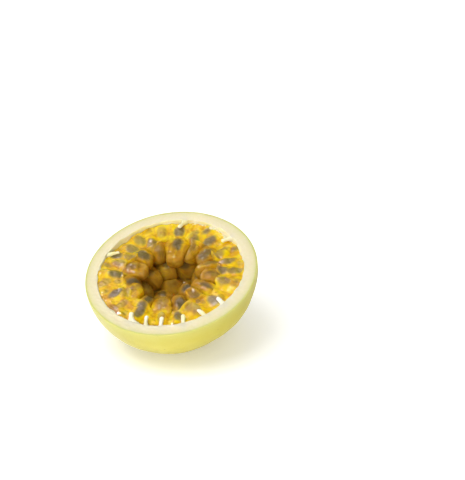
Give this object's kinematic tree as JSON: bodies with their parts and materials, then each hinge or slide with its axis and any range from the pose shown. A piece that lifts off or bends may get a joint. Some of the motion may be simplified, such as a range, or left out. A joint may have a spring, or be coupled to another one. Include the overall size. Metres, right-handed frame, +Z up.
{
  "type": "passion fruit half",
  "caption": "Cut half of a yellow passion fruit: thick pale rind bowl with inner stalks, juicy sacs each wrapping a dark seed, and a central hollow, resting on a small flat spot.",
  "frame": {"origin": "centre of the small flat spot under the rind that the half rests on", "axes": "+Z up; the cut face looks up and leans towards -Y, with its low edge at -Y and its high edge at +Y; X runs level across the cut face"},
  "size_m": [0.0778, 0.0768, 0.0467],
  "materials": {
    "rind": "smooth waxy yellow skin outside, cream-white moist spongy flesh at the cut and inside",
    "packed_pulp": "wet bright yellow-orange gel, translucent",
    "juice_sac": "wet glossy amber gel, translucent, with fine pale fibres",
    "seed": "dark brown hard seed coat with fine pits, wet"
  },
  "bodies": {
    "root": {"rind": "rind", "packed_sacs": "packed_pulp", "juice_sac_01": "juice_sac", "seed_01": "seed", "juice_sac_02": "juice_sac", "seed_02": "seed", "juice_sac_03": "juice_sac", "seed_03": "seed", "juice_sac_04": "juice_sac", "seed_04": "seed", "juice_sac_05": "juice_sac", "seed_05": "seed", "juice_sac_06": "juice_sac", "seed_06": "seed", "juice_sac_07": "juice_sac", "seed_07": "seed", "juice_sac_08": "juice_sac", "seed_08": "seed", "juice_sac_09": "juice_sac", "seed_09": "seed", "juice_sac_10": "juice_sac", "seed_10": "seed", "juice_sac_11": "juice_sac", "seed_11": "seed", "juice_sac_12": "juice_sac", "seed_12": "seed", "juice_sac_13": "juice_sac", "seed_13": "seed", "juice_sac_14": "juice_sac", "seed_14": "seed", "juice_sac_15": "juice_sac", "seed_15": "seed", "juice_sac_16": "juice_sac", "seed_16": "seed", "juice_sac_17": "juice_sac", "seed_17": "seed", "juice_sac_18": "juice_sac", "seed_18": "seed", "juice_sac_19": "juice_sac", "seed_19": "seed", "juice_sac_20": "juice_sac", "seed_20": "seed", "juice_sac_21": "juice_sac", "seed_21": "seed", "juice_sac_22": "juice_sac", "seed_22": "seed", "juice_sac_23": "juice_sac", "seed_23": "seed", "juice_sac_24": "juice_sac", "seed_24": "seed", "juice_sac_25": "juice_sac", "seed_25": "seed", "juice_sac_26": "juice_sac", "seed_26": "seed", "juice_sac_27": "juice_sac", "seed_27": "seed", "juice_sac_28": "juice_sac", "seed_28": "seed", "juice_sac_29": "juice_sac", "seed_29": "seed"}
  },
  "joints": []
}
